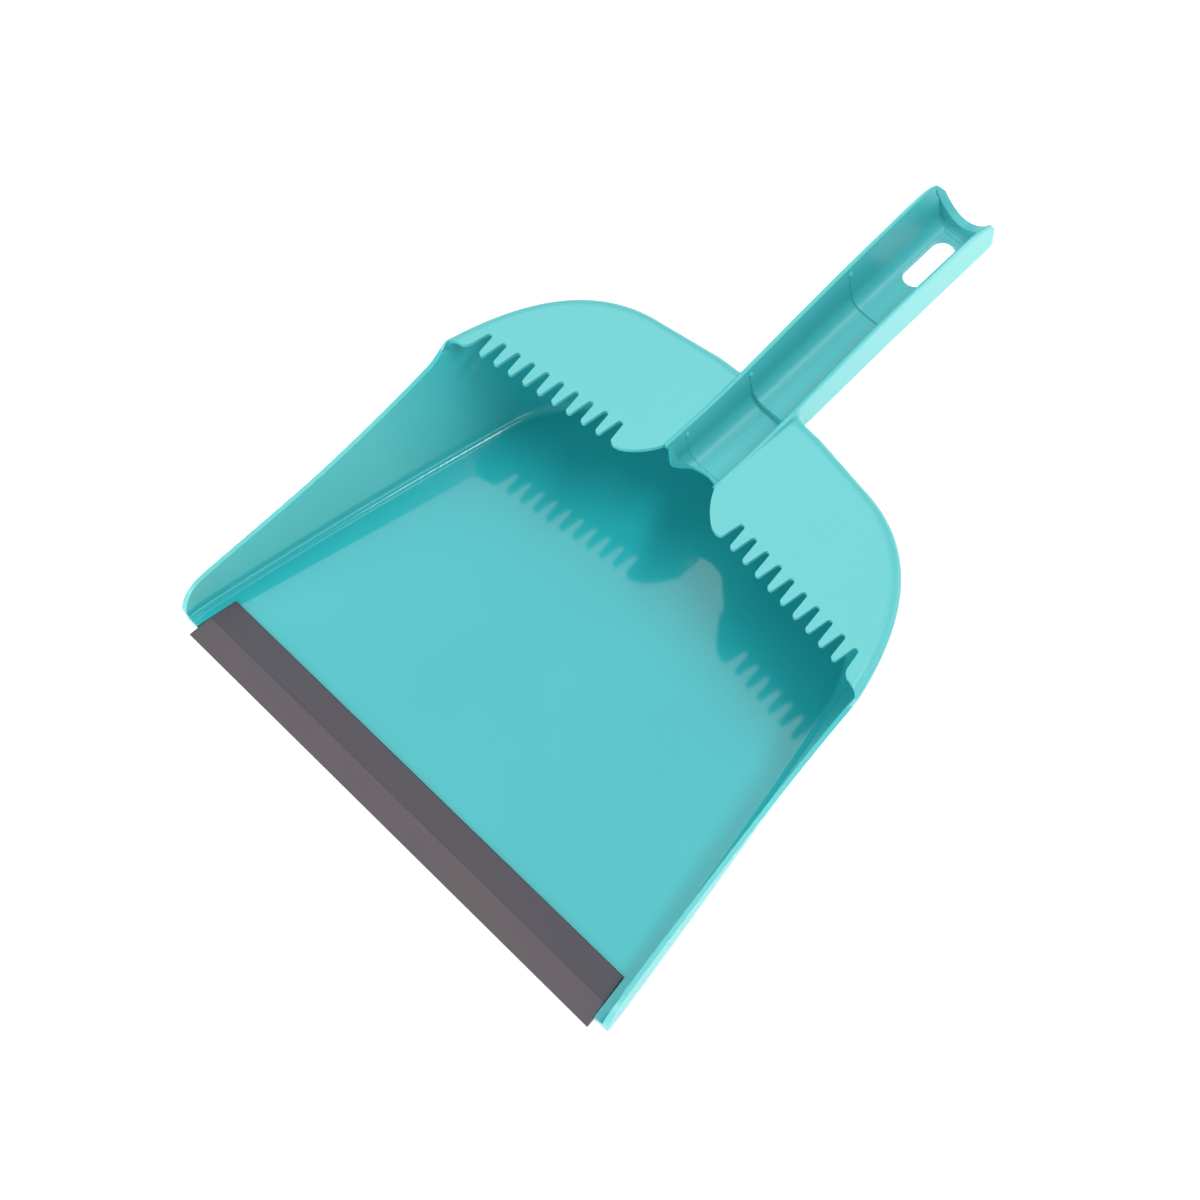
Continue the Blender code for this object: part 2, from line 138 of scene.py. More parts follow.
# Trough handle: half widths and heights of its rims
RIM_HALVES = (
    (166.0 * MM, 13.7 * MM),
    (248.0 * MM, 13.6 * MM),
    (281.0 * MM, 14.0 * MM),
    (301.0 * MM, 14.3 * MM),
    (313.6 * MM, 14.4 * MM),
)
RIM_HEIGHTS = (
    (166.0 * MM, 57.2 * MM),
    (183.0 * MM, 57.4 * MM),
    (200.0 * MM, 58.9 * MM),
    (212.0 * MM, 60.8 * MM),
    (224.0 * MM, 62.8 * MM),
    (236.0 * MM, 64.8 * MM),
    (248.0 * MM, 66.6 * MM),
    (264.0 * MM, 68.5 * MM),
    (281.0 * MM, 70.0 * MM),
    (293.0 * MM, 71.0 * MM),
    (302.0 * MM, 71.2 * MM),
    (307.5 * MM, 70.2 * MM),
    (311.2 * MM, 68.0 * MM),
    (313.6 * MM, 64.2 * MM),
)
TROUGH_FRONT_ARCH = (
    (12.3 * MM, 166.0 * MM),
    (10.0 * MM, 168.2 * MM),
    (6.5 * MM, 171.2 * MM),
    (0.0, 172.6 * MM),
)
TROUGH_FLOOR_HEIGHT = 38.9 * MM
TROUGH_FLOOR_SLOPE = 0.075
TROUGH_STEPS = ((173.5 * MM, 0.4 * MM), (207.0 * MM, 3.0 * MM), (260.5 * MM, 0.8 * MM))
OUTER_CORNERS = ((207.0 * MM, 5.0 * MM), (313.6 * MM, 9.0 * MM))
END_WALL_Y = 310.0 * MM
SADDLE_LOW = 56.0 * MM
SADDLE_RISE = 10.0 * MM
SADDLE_STEPS = 24
SLOT_STEPS = 20
RIM_ROUNDING = 0.47
END_LENGTH = 6 * MM
END_STEPS = 12
TUCK_LENGTH = 2.4 * MM
TUCK_SHARE = 0.6

# Edges that get a rounding or stay sharp in the shading, by the angle between their faces
PAN_BEVEL_ANGLE = 42
PAN_SHARP_ANGLE = 40
LIP_BEVEL_ANGLE = 8
LIP_SHARP_ANGLE = 50
LIP_SOFTNESS = 0.15 * MM
BEVEL_STEPS = 3

# Where the pan's satin finishes, with their painted sheen, start and end, on the model's own axes
OUTSIDE_X = (12.9 * MM, 13.5 * MM)
BEHIND_Y = (47.5 * MM, 51.5 * MM)
HIGH_Z = (54.2 * MM, 55.4 * MM)
OVER_FLOOR_Z = (5.0 * MM, 8.0 * MM)
FRONT_PART_Y = (-60.0 * MM, 0.0)
IN_TROUGH_Z = (36.5 * MM, 38.0 * MM)

# How much painted sheen (paler colour) and how much satin each of those areas gets
TOP_PAINTED_SHEEN = 0.38
OUTSIDE_PAINTED_SHEEN = 0.8
WALL_PAINTED_SHEEN = 0.5
TROUGH_PAINTED_SHEEN = 0.22
WALL_SATIN = 0.9
TROUGH_SATIN = 1.1
SATIN_ROUGHNESS = 0.3

# Studio: lamps as name, place, target, size and power, then the camera and the world
LAMPS = (
    ("mirror_softbox", (-0.54, 0.40, 1.34), (0.0, 0.0, 0.0), (1.2, 1.2), 8.8),
    ("right_strip", (0.60, 0.34, 1.27), (-0.1, -0.05, 0.0), (0.8, 0.2), 7.6),
    ("front_fill", (-0.35, -1.5, 0.55), (0.0, 0.0, 0.05), (1.4, 0.7), 15.0),
    ("side_fill", (1.5, 0.1, 0.45), (0.0, 0.1, 0.05), (1.2, 0.5), 5.0),
)
CAMERA_PLACE = (0.33081, -0.29083, 0.84128)
CAMERA_RIGHT = (0.69541, 0.71583, -0.06320)
CAMERA_BACK = (0.35904, -0.26993, 0.89343)
CAMERA_LENS = 73.94
CAMERA_SENSOR = 36.0
WORLD_STRENGTH = 0.38
FLOOR_SIZE = 4.0
FLOOR_GLOW = 0.5


def length(name, description, millimetres):
    return FloatProperty(
        name=name, description=description, default=millimetres * MM, min=0.0,
        precision=4, subtype="DISTANCE", unit="LENGTH",
    )


def colour(name, description, value):
    return FloatVectorProperty(
        name=name, description=description, default=value, size=3, min=0.0, max=1.0,
        subtype="COLOR",
    )


class TraySizes(bpy.types.PropertyGroup):
    hood_top: length("Hood height", "Height of the hood's flat top", 57.0)
    floor_thickness: length("Floor thickness", "Thickness of the pan's floor", 2.6)
    wall_thickness: length("Wall thickness", "Thickness of the walls and the hood", 1.8)
    front: length("Tray front", "Where the walls start behind the lip's edge", 4.0)
    base_front_half: length("Half width at floor", "Half width of the floor's front", 116.6)
    top_front_half: length("Half width at top", "Half width the walls lean out to", 121.0)
    base_back: length("Floor back", "Where the floor ends at the back", 192.5)
    top_back: length("Hood back", "Where the hood ends at the back", 209.2)
    base_edge: length("Bottom edge radius", "Rounding under the walls", 1.6)
    hood_edge: length("Hood edge radius", "Rounding of the hood's outer edge", 6.5)
    floor_fillet: length("Floor fillet", "Rounding between floor and walls", 3.0)
    hood_fillet: length("Hood fillet", "Rounding under the hood", 4.7)
    edge_softness: length("Edge softness", "Rounding of rims and cut edges", 0.5)


class CombSizes(bpy.types.PropertyGroup):
    teeth: IntProperty(name="Teeth", description="Teeth on each side", default=9, min=2, max=20)
    pitch: length("Pitch", "Distance from tooth to tooth", 7.0)
    first: length("First gap", "Distance of the first gap from the middle", 31.3)
    valley: length("Gap end", "Where the first gap ends", 160.0)
    tooth: length("Tooth length", "Length of a tooth", 9.5)
    tip_radius: length("Tip radius", "Rounding of a tooth's tip", 1.25)
    valley_radius: length("Gap radius", "Rounding between teeth", 1.25)
    sweep: FloatProperty(
        name="Sweep", description="Slant of the row towards the front", default=0.12
    )


class HandleSizes(bpy.types.PropertyGroup):
    rim: length("Rim width", "Thickness of the trough's rims", 1.8)
    shell: length("Trough thickness", "Thickness under the trough's floor", 2.2)
    foot_half: length("Floor half width", "Half width at the foot of the walls", 10.7)
    inner_corner: length("Inner corner", "Rounding inside the trough", 6.5)
    end_fillet: length("End fillet", "Rounding at the foot of the end wall", 3.0)
    step_inset: length("Step inset", "How much each cross step narrows the trough's foot", 0.25)
    slot_half: length("Slot half width", "Half width of the hanging slot", 5.0)
    slot_start: length("Slot start", "Where the hanging slot starts", 280.5)
    slot_end: length("Slot end", "Where the hanging slot ends", 305.5)
    bead_radius: length("Bead radius", "Radius of the beads inside the rims", 1.1)
    bead_drop: length("Bead drop", "Distance of a bead's top under the rim", 2.2)
    bead_height: length("Bead height", "Height of a bead", 3.0)
    root_fillet: length("Root fillet", "Rounding where the handle leaves the hood", 3.0)


class LipSizes(bpy.types.PropertyGroup):
    front_half: length("Front half width", "Half width at the front edge", 110.0)
    back_half: length("Back half width", "Half width at the back edge", 106.6)
    back: length("Back edge", "Where the lip ends", 21.5)
    crease: length("Crease", "Where the two slopes meet", 9.9)
    edge_height: length("Edge height", "Thickness of the front edge", 0.7)
    crease_height: length("Crease height", "Height of the crease", 2.9)
    crease_groove: length("Crease groove", "Depth of the thin groove behind the crease", 0.25)
    back_height: length("Back height", "Height of the back edge", 3.4)
    tongue_front: length("Tongue front", "Where the pan's tongue starts", 8.0)
    tongue_height: length("Tongue height", "Thickness of the pan's tongue", 1.3)
    clearance: length("Clearance", "Gap between lip and pan", 0.3)


class Finish(bpy.types.PropertyGroup):
    plastic: colour("Plastic", "Colour of the moulded plastic", (0.022, 0.430, 0.462))
    # Paler colour painted into the satin areas as their sheen
    painted_sheen_tint: colour("Pale plastic", "Colour its satin areas turn towards", (0.255, 0.71, 0.685))
    rubber: colour("Rubber", "Colour of the soft lip", (0.105, 0.091, 0.099))
    floor: colour("Studio floor", "Colour of the floor it stands on", (0.90, 0.90, 0.90))


def sizes():
    scene = bpy.context.scene
    return scene.dustpan_tray, scene.dustpan_comb, scene.dustpan_handle, scene.dustpan_lip


# Curves and tables


def bezier(start, start_pull, end_pull, end, steps):
    points = []
    for i in range(steps + 1):
        t = i / steps
        weights = ((1 - t) ** 3, 3 * t * (1 - t) ** 2, 3 * t * t * (1 - t), t ** 3)
        corners = (start, start_pull, end_pull, end)
        points.append(tuple(sum(w * c[k] for w, c in zip(weights, corners)) for k in range(2)))
    return points


def arc(centre, radius, start, end, steps):
    angles = [math.radians(start + (end - start) * i / steps) for i in range(steps + 1)]
    return [(centre[0] + radius * math.cos(a), centre[1] + radius * math.sin(a)) for a in angles]


def rounded(points, steps):
    """A curve that passes smoothly through all the points."""
    curve = []
    for i in range(len(points) - 1):
        before = points[max(i - 1, 0)]
        a, b = points[i], points[i + 1]
        after = points[min(i + 2, len(points) - 1)]
        for j in range(steps):
            t = j / steps
            point = []
            for k in range(2):
                pull_a = (b[k] - before[k]) / 2
                pull_b = (after[k] - a[k]) / 2
                point.append(
                    a[k] * (2 * t ** 3 - 3 * t * t + 1) + pull_a * (t ** 3 - 2 * t * t + t)
                    + b[k] * (3 * t * t - 2 * t ** 3) + pull_b * (t ** 3 - t * t)
                )
            curve.append(tuple(point))
    return curve + [tuple(points[-1])]


def slope_at(table, i):
    a = table[max(i - 1, 0)]
    b = table[min(i + 1, len(table) - 1)]
    return (b[1] - a[1]) / (b[0] - a[0])


def along(table, y):
    """Smooth value of a (y, value) table."""
    if y <= table[0][0]:
        return table[0][1]
    for i in range(len(table) - 1):
        (y0, v0), (y1, v1) = table[i], table[i + 1]
        if y <= y1:
            span = y1 - y0
            t = (y - y0) / span
            leave, arrive = slope_at(table, i), slope_at(table, i + 1)
            return (
                v0 * (2 * t ** 3 - 3 * t * t + 1) + leave * span * (t ** 3 - 2 * t * t + t)
                + v1 * (3 * t * t - 2 * t ** 3) + arrive * span * (t ** 3 - t * t)
            )
    return table[-1][1]


def quarter(radius, steps):
    """Insets and rises along a quarter circle, from its foot to its side."""
    angles = [math.pi / 2 * i / steps for i in range(steps + 1)]
    return [(radius * (1 - math.sin(a)), radius * (1 - math.cos(a))) for a in angles]


# Solids


def new_object(name, mesh):
    data = bpy.data.meshes.new(name)
    mesh.to_mesh(data)
    mesh.free()
    obj = bpy.data.objects.new(name, data)
    bpy.context.scene.collection.objects.link(obj)
    return obj


def solid_from_rings(name, rings):
    """A closed solid through rings that have the same number of points."""
    mesh = bmesh.new()
    loops = [[mesh.verts.new((x, y + LIP_FRONT, z)) for x, y, z in ring] for ring in rings]
    count = len(loops[0])
    for lower, upper in zip(loops, loops[1:]):
        for i in range(count):
            j = (i + 1) % count
            mesh.faces.new((lower[i], lower[j], upper[j], upper[i]))
    mesh.faces.new(list(reversed(loops[0])))
    mesh.faces.new(loops[-1])
    bmesh.ops.recalc_face_normals(mesh, faces=mesh.faces)
    bmesh.ops.triangulate(mesh, faces=mesh.faces[:])
    return new_object(name, mesh)


def prism(name, plan, low, high):
    """An upright solid over a plan."""
    return solid_from_rings(name, [[(x, y, z) for x, y in plan] for z in (low, high)])


def combine(obj, tool, operation):
    modifier = obj.modifiers.new(tool.name, "BOOLEAN")
    modifier.object = tool
    modifier.operation = operation
    modifier.solver = "EXACT"
    return tool


def bake(obj, tools=()):
    """Turns an object's modifiers into its mesh and drops the tools that it used."""
    depsgraph = bpy.context.evaluated_depsgraph_get()
    made = bpy.data.meshes.new_from_object(obj.evaluated_get(depsgraph))
    obj.modifiers.clear()
    obj.data = made
    for tool in tools:
        bpy.data.objects.remove(tool, do_unlink=True)


# Tray


def half_plan(front_half, taper, bend, back_bend, back_y, pull, front_y):
    """The right half of the tray's plan, from the front to the middle of the back."""
    reach = bend[1] - front_y
    bow = front_half - bend[0] - taper * reach
    side = []
    for i in range(SIDE_STEPS):
        t = 1 - i / SIDE_STEPS
        side.append((bend[0] + taper * reach * t + bow * t * t, bend[1] - reach * t))
    lean = math.radians(CORNER_SIDE_LEAN)
    start_pull = (bend[0] - pull * math.sin(lean), bend[1] + pull * math.cos(lean))
    lean = math.radians(CORNER_BACK_LEAN)
    end_pull = (back_bend[0] + pull * math.cos(lean), back_bend[1] - pull * math.sin(lean))
    corner = bezier(bend, start_pull, end_pull, back_bend, CORNER_STEPS)
    return side + corner + [(back_bend[0] / 2, (back_bend[1] + 3 * back_y) / 4), (0.0, back_y)]


def tray_plans():
    tray = sizes()[0]
    base = half_plan(
        tray.base_front_half, BASE_SIDE_TAPER, BASE_BEND, BASE_BACK_BEND, tray.base_back,
        BASE_CORNER_PULL, tray.front,
    )
    top = half_plan(
        tray.top_front_half, TOP_SIDE_TAPER, TOP_BEND, TOP_BACK_BEND, tray.top_back,
        TOP_CORNER_PULL, tray.front,
    )
    return base, top


def inset_half(points, distance):
    """Moves a half plan inwards, keeping its last point on the middle plane."""
    moved = []
    for i, (x, y) in enumerate(points):
        before = points[max(i - 1, 0)]
        after = points[min(i + 1, len(points) - 1)]
        dx = after[0] - before[0]
        dy = after[1] - before[1]
        if i == len(points) - 1:
            dx, dy = -1.0, 0.0
        size = math.hypot(dx, dy)
        moved.append((x - distance * dy / size, y + distance * dx / size))
    return moved


def tray_ring(height, inset, front_y):
    """One level of the tray: its plan at a height, moved inwards, with a straight front."""
    base, top = tray_plans()
    blend = height / sizes()[0].hood_top
    plan = []
    for low, high in zip(base, top):
        plan.append(tuple(low[k] + (high[k] - low[k]) * blend for k in range(2)))
    plan = inset_half(plan, inset)
    plan[0] = (plan[0][0], front_y)
    right = [(x, y, height) for x, y in plan]
    left = [(-x, y, height) for x, y in reversed(plan[:-1])]
    return right + left


def tray_block(tray):
    rings = []
    for inset, rise in quarter(tray.base_edge, CURVE_STEPS):
        rings.append(tray_ring(rise, inset, tray.front))
    for inset, drop in reversed(quarter(tray.hood_edge, FILLET_STEPS)):
        rings.append(tray_ring(tray.hood_top - drop, inset, tray.front))
    return solid_from_rings("moulded_pan", rings)


def tray_cavity(tray):
    front = tray.front - REACH
    rings = []
    for inset, rise in quarter(tray.floor_fillet, FILLET_STEPS):
        rings.append(tray_ring(tray.floor_thickness + rise, tray.wall_thickness + inset, front))
    ceiling = tray.hood_top - tray.wall_thickness
    for inset, drop in reversed(quarter(tray.hood_fillet, ARC_STEPS)):
        rings.append(tray_ring(ceiling - drop, tray.wall_thickness + inset, front))
    return solid_from_rings("tray_cavity", rings)


def rim_cutter(tray):
    """Takes away what stands above the side rims, ahead of the hood."""
    front = RIM_PROFILE[0][0]
    above = tray.hood_top + REACH
    side = [(front - REACH, above), (front - REACH, -REACH), (front, -REACH)]
    side += rounded(RIM_PROFILE, CURVE_STEPS) + [(RIM_PROFILE[-1][0], above)]
    half = tray.top_front_half + REACH
    return solid_from_rings("rim_cutter", [[(x, y, z) for y, z in side] for x in (-half, half)])


# Comb


def comb_tooth_outline(comb):
    """One tooth with half a gap on each side, as a chain of edges."""
    tip = (comb.pitch / 2, comb.tip_radius - comb.tooth - comb.sweep * comb.pitch / 2)
    end = (comb.pitch, -comb.valley_radius - comb.sweep * comb.pitch)
    points = arc((0.0, -comb.valley_radius), comb.valley_radius, 90, 10, ARC_STEPS)
    points += arc(tip, comb.tip_radius, 190, 350, ARC_STEPS * 2)
    points += arc(end, comb.valley_radius, 170, 90, ARC_STEPS)
    mesh = bmesh.new()
    chain = [mesh.verts.new((x, y, 0.0)) for x, y in points]
    for a, b in zip(chain, chain[1:]):
        mesh.edges.new((a, b))
    return new_object("comb_tooth", mesh)


def new_tree(name, sizes_in):
    """A node tree that takes a shape, its own sizes and a material, and gives a shape."""
    tree = bpy.data.node_groups.new(name, "GeometryNodeTree")
    inputs = {"Geometry": "Geometry", **sizes_in, "Material": "Material"}
    for label, kind in inputs.items():
        tree.interface.new_socket(
            name=label, in_out="INPUT", socket_type="NodeSocket" + kind,
        )
    tree.interface.new_socket(
        name="Geometry", in_out="OUTPUT", socket_type="NodeSocketGeometry",
    )
    return tree


def comb_tree():
    """Repeats a tooth along the slanted row."""
    tree = new_tree("Comb row", {"Teeth": "Int", "Pitch": "Float", "Sweep": "Float"})
    node, link = tree.nodes.new, tree.links.new
    start, end = node("NodeGroupInput"), node("NodeGroupOutput")
    drop = node("ShaderNodeMath")
    drop.operation = "MULTIPLY"
    back = node("ShaderNodeMath")
    back.operation = "MULTIPLY"
    back.inputs[1].default_value = -1.0
    step = node("ShaderNodeCombineXYZ")
    row = node("GeometryNodeMeshLine")
    copies = node("GeometryNodeInstanceOnPoints")
    real = node("GeometryNodeRealizeInstances")
    merge = node("GeometryNodeMergeByDistance")
    merge.inputs["Distance"].default_value = 0.01 * MM
    paint = node("GeometryNodeSetMaterial")
    link(start.outputs["Pitch"], drop.inputs[0])
    link(start.outputs["Sweep"], drop.inputs[1])
    link(drop.outputs[0], back.inputs[0])
    link(start.outputs["Pitch"], step.inputs["X"])
    link(back.outputs[0], step.inputs["Y"])
    link(start.outputs["Teeth"], row.inputs["Count"])
    link(step.outputs[0], row.inputs["Offset"])
    link(row.outputs[0], copies.inputs["Points"])
    link(start.outputs["Geometry"], copies.inputs["Instance"])
    link(copies.outputs[0], real.inputs[0])
    link(real.outputs[0], merge.inputs["Geometry"])
    link(merge.outputs[0], paint.inputs["Geometry"])
    link(start.outputs["Material"], paint.inputs["Material"])
    link(paint.outputs[0], end.inputs[0])
    return tree


def run_tree(obj, tree, values):
    """Runs a node tree on an object with its inputs set by name, and keeps the result."""
    modifier = obj.modifiers.new(tree.name, "NODES")
    modifier.node_group = tree
    for item in tree.interface.items_tree:
        if item.in_out == "INPUT" and item.name in values:
            modifier[item.identifier] = values[item.name]
    bake(obj)


def comb_edge(comb, material):
    """The right half of the hood's front edge, from the trough out to the side wall."""
    row = comb_tooth_outline(comb)
    run_tree(
        row, comb_tree(),
        {"Teeth": comb.teeth, "Pitch": comb.pitch, "Sweep": comb.sweep, "Material": material},
    )
    teeth = sorted((v.co.x + comb.first, v.co.y + comb.valley) for v in row.data.vertices)
    bpy.data.objects.remove(row, do_unlink=True)
    first = (comb.first, comb.valley - comb.valley_radius)
    x = comb.first + comb.pitch * comb.teeth
    last = (x, comb.valley - comb.sweep * comb.pitch * comb.teeth - comb.valley_radius)
    edge = rounded(LOBE_OUTLINE, CURVE_STEPS)
    edge += arc(first, comb.valley_radius, 170, 90, ARC_STEPS)[:-1]
    edge += teeth
    edge += arc(last, comb.valley_radius, 90, 10, ARC_STEPS)[1:]
    return edge + rounded(OUTER_LOBE, 3)


def hood_front_cutter(tray, comb, material):
    edge = comb_edge(comb, material)
    front = RIM_PROFILE[-1][0] - REACH
    right = edge + [(edge[-1][0], front)]
    plan = right + [(-x, y) for x, y in reversed(right)]
    low = tray.hood_top - tray.wall_thickness - tray.hood_fillet
    return prism("hood_front_cutter", plan, low, tray.hood_top + REACH)


# Handle


def trough_floor(y, steps_passed):
    """Height of the trough's inner floor, after the given number of cross steps."""
    rise = sum(height for _, height in TROUGH_STEPS[:steps_passed])
    return TROUGH_FLOOR_HEIGHT + rise + max(0.0, y - TROUGH_STEPS[1][0]) * TROUGH_FLOOR_SLOPE


def rim_top(y):
    return min(along(RIM_HEIGHTS, y), max(height for _, height in RIM_HEIGHTS))


def stations(start, end, step, extra=()):
    count = max(1, round((end - start) / step))
    spots = {start + (end - start) * i / count for i in range(count + 1)}
    spots |= {y for y in extra if start < y < end}
    return sorted(spots)


def mirrored(right, y):
    section = right + [(-x, z) for x, z in reversed(right)]
    return [(x, y, z) for x, z in section]


def block_section(y, half, corner, top, bottom, edge):
    """The handle's outer section, with rounded rims."""
    right = arc((half - edge, top - edge), edge, 90, 0, EDGE_STEPS)
    right += arc((half - corner, bottom + corner), corner, 0, -90, CORNER_ARC_STEPS)
    return mirrored(right, y)


def handle_block(handle):
    edge = handle.rim * RIM_ROUNDING
    begin, end = RIM_HEIGHTS[0][0] - handle.shell, RIM_HEIGHTS[-1][0]
    drop = TROUGH_STEPS[1][0]
    straight = end - END_LENGTH
    spots = stations(begin, straight, SECTION_STEP, (drop, drop + handle.shell))
    for i in range(1, END_STEPS + 1):
        spots.append(straight + END_LENGTH * math.sin(math.pi / 2 * i / END_STEPS))
    rings = []
    for y in spots:
        bottom = trough_floor(y, 2 if y > drop else 1) - handle.shell
        near_end = max(0.0, (y - end + TUCK_LENGTH) / TUCK_LENGTH)
        tuck = TUCK_LENGTH * (1 - math.sqrt(max(0.0, 1 - near_end ** 2)))
        half = along(RIM_HALVES, y) - TUCK_SHARE * tuck
        rings.append(block_section(y, half, along(OUTER_CORNERS, y), rim_top(y), bottom, edge))
    return solid_from_rings("handle_block", rings)


def inside_section(y, floor, foot_half, handle):
    """Section of the trough's hollow, flaring over the rounded inner edges of the rims."""
    edge = handle.rim * RIM_ROUNDING
    corner = handle.inner_corner
    top = rim_top(y)
    foot = floor + corner
    lean = (along(RIM_HALVES, y) - handle.rim - foot_half) / (top - foot)
    wall = foot_half + lean * (top - edge - foot)
    right = [(wall + edge, top + REACH)]
    right += arc((wall + edge, top - edge), edge, 90, 180, EDGE_STEPS)
    right += arc((foot_half - corner, foot), corner, 0, -90, CORNER_ARC_STEPS)
    return mirrored(right, y)


def trough_cutters(handle):
    begin = TROUGH_STEPS[0][0] - REACH
    starts = [begin] + [y - handle.shell for y, _ in TROUGH_STEPS]
    ends = [y for y, _ in TROUGH_STEPS] + [END_WALL_Y]
    cutters = []
    for i, (start, end) in enumerate(zip(starts, ends)):
        foot_half = handle.foot_half - handle.step_inset * i
        spots = stations(start, end, SECTION_STEP)
        rings = [inside_section(y, trough_floor(y, i), foot_half, handle) for y in spots]
        cutters.append(solid_from_rings("trough_cutter_%d" % i, rings))
    return cutters


def trough_front_cutter(tray, handle, comb):
    """Shapes the trough's front end into a shallow arch."""
    arch = rounded(TROUGH_FRONT_ARCH, CURVE_STEPS)
    right = [(RIM_HALVES[0][1] + handle.shell, arch[0][1])] + arch
    left = [(-x, y) for x, y in reversed(right[:-1])]
    front = comb.valley - REACH
    plan = right + left + [(left[-1][0], front), (right[0][0], front)]
    low = tray.floor_thickness + REACH
    return prism("trough_front_cutter", plan, low, tray.hood_top - tray.wall_thickness)


def end_fillet(handle):
    """Rounds the inside corner between the trough's floor and its end wall."""
    floor = trough_floor(END_WALL_Y, len(TROUGH_STEPS))
    radius = handle.end_fillet
    behind = END_WALL_Y + handle.rim
    below = floor - handle.shell / 2
    centre = (END_WALL_Y - radius, floor + radius)
    section = [(behind, below), (behind, centre[1])]
    section += arc(centre, radius, 0, -90, CORNER_ARC_STEPS)
    section += [(centre[0], below)]
    half = handle.foot_half
    return solid_from_rings("end_fillet", [[(x, y, z) for y, z in section] for x in (-half, half)])


def saddle_cutter(handle):
    """Scoops the top of the handle's end wall."""
    half = RIM_HALVES[-1][1] - handle.rim
    bowl = []
    for i in range(SADDLE_STEPS + 1):
        x = half * (1 - 2 * i / SADDLE_STEPS)
        bowl.append((x, SADDLE_LOW + SADDLE_RISE * (x / half) ** 2))
    section = bowl + [(-half, SADDLE_LOW + REACH), (half, SADDLE_LOW + REACH)]
    ends = (END_WALL_Y - handle.shell / 2, RIM_HEIGHTS[-1][0] + REACH)
    return solid_from_rings("saddle_cutter", [[(x, y, z) for x, z in section] for y in ends])


def bead_tree():
    """Sets an upright bead on every point."""
    tree = new_tree("Beads", {"Radius": "Float", "Stretch": "Float"})
    node, link = tree.nodes.new, tree.links.new
    start, end = node("NodeGroupInput"), node("NodeGroupOutput")
    bead = node("GeometryNodeMeshUVSphere")
    bead.inputs["Segments"].default_value = 20
    bead.inputs["Rings"].default_value = 12
    shape = node("ShaderNodeCombineXYZ")
    shape.inputs["X"].default_value = 1.0
    shape.inputs["Y"].default_value = 1.0
    copies = node("GeometryNodeInstanceOnPoints")
    real = node("GeometryNodeRealizeInstances")
    paint = node("GeometryNodeSetMaterial")
    link(start.outputs["Radius"], bead.inputs["Radius"])
    link(start.outputs["Stretch"], shape.inputs["Z"])
    link(start.outputs["Geometry"], copies.inputs["Points"])
    link(bead.outputs["Mesh"], copies.inputs["Instance"])
    link(shape.outputs[0], copies.inputs["Scale"])
    link(copies.outputs[0], real.inputs[0])
    link(real.outputs[0], paint.inputs["Geometry"])
    link(start.outputs["Material"], paint.inputs["Material"])
    link(paint.outputs[0], end.inputs[0])
    return tree


def step_beads(handle, material):
    """Beads where the cross steps and the end wall meet the insides of the rims."""
    mesh = bmesh.new()
    for y in [y for y, _ in TROUGH_STEPS] + [END_WALL_Y - handle.bead_radius / 2]:
        x = along(RIM_HALVES, y) - handle.rim - handle.bead_radius * 0.3
        z = rim_top(y) - handle.bead_drop - handle.bead_height / 2
        for side in (-1, 1):
            mesh.verts.new((side * x, y + handle.bead_radius / 2 + LIP_FRONT, z))
    beads = new_object("step_beads", mesh)
    stretch = handle.bead_height / (2 * handle.bead_radius)
    values = {"Radius": handle.bead_radius, "Stretch": stretch, "Material": material}
    run_tree(beads, bead_tree(), values)
    return beads


def slot_cutter(handle):
    near = (0.0, handle.slot_start + handle.slot_half)
    far = (0.0, handle.slot_end - handle.slot_half)
    plan = arc(far, handle.slot_half, 0, 180, SLOT_STEPS)
    plan += arc(near, handle.slot_half, 180, 360, SLOT_STEPS)
    low = TROUGH_FLOOR_HEIGHT - handle.shell * 2
    return prism("slot_cutter", plan, low, SADDLE_LOW)


def back_edge(height, inset, x):
    """Where the tray's back surface lies at a height, beside the handle."""
    ring = tray_ring(height, inset, 0.0)
    for (x0, y0, _), (x1, y1, _) in zip(ring, ring[1:]):
        if x1 <= x <= x0:
            return y0 + (y1 - y0) * (x0 - x) / (x0 - x1)
    return ring[-1][1]


def root_fillet(tray, handle, side):
    """Rounds the upright corner between the handle's side and the hood's rounded back edge."""
    radius = handle.root_fillet
    half = along(RIM_HALVES, tray.top_back)
    levels = [(tray.hood_top - tray.hood_edge - step * MM, 0.0) for step in (4, 2)]
    for inset, drop in reversed(quarter(tray.hood_edge, FILLET_STEPS)[1:]):
        levels.append((tray.hood_top - ROOT_DROP - drop, inset))
    rings = []
    for height, inset in levels:
        back = back_edge(height, inset, half + radius / 2)
        plan = [(half - handle.rim / 2, back - handle.rim), (half + radius, back - handle.rim)]
        centre = (half + radius - FILLET_BITE, back + radius - FILLET_BITE)
        plan += arc(centre, radius, 270, 180, CORNER_ARC_STEPS)
        plan += [(half - handle.rim / 2, centre[1])]
        rings.append([(side * x, y, height) for x, y in plan])
    return solid_from_rings("root_fillet_%d" % (1 + side), rings)


# Lip


def lip_half(lip, y):
    return lip.front_half + (lip.back_half - lip.front_half) * y / lip.back


def lip_prism(lip, name, profile, clearance):
    """A solid with a (y, z) side profile, between the two side walls."""
    rings = []
    for side in (-1, 1):
        rings.append([(side * (lip_half(lip, y) + clearance), y, z) for y, z in profile])
    return solid_from_rings(name, rings)


def lip_recess_cutter(tray, lip):
    profile = (
        (tray.front - REACH, -REACH),
        (lip.tongue_front, -REACH),
        (lip.tongue_front, lip.tongue_height),
        (lip.back, lip.tongue_height),
        (lip.back, REACH),
        (tray.front - REACH, REACH),
    )
    return lip_prism(lip, "lip_recess_cutter", profile, lip.clearance)


# Pieces


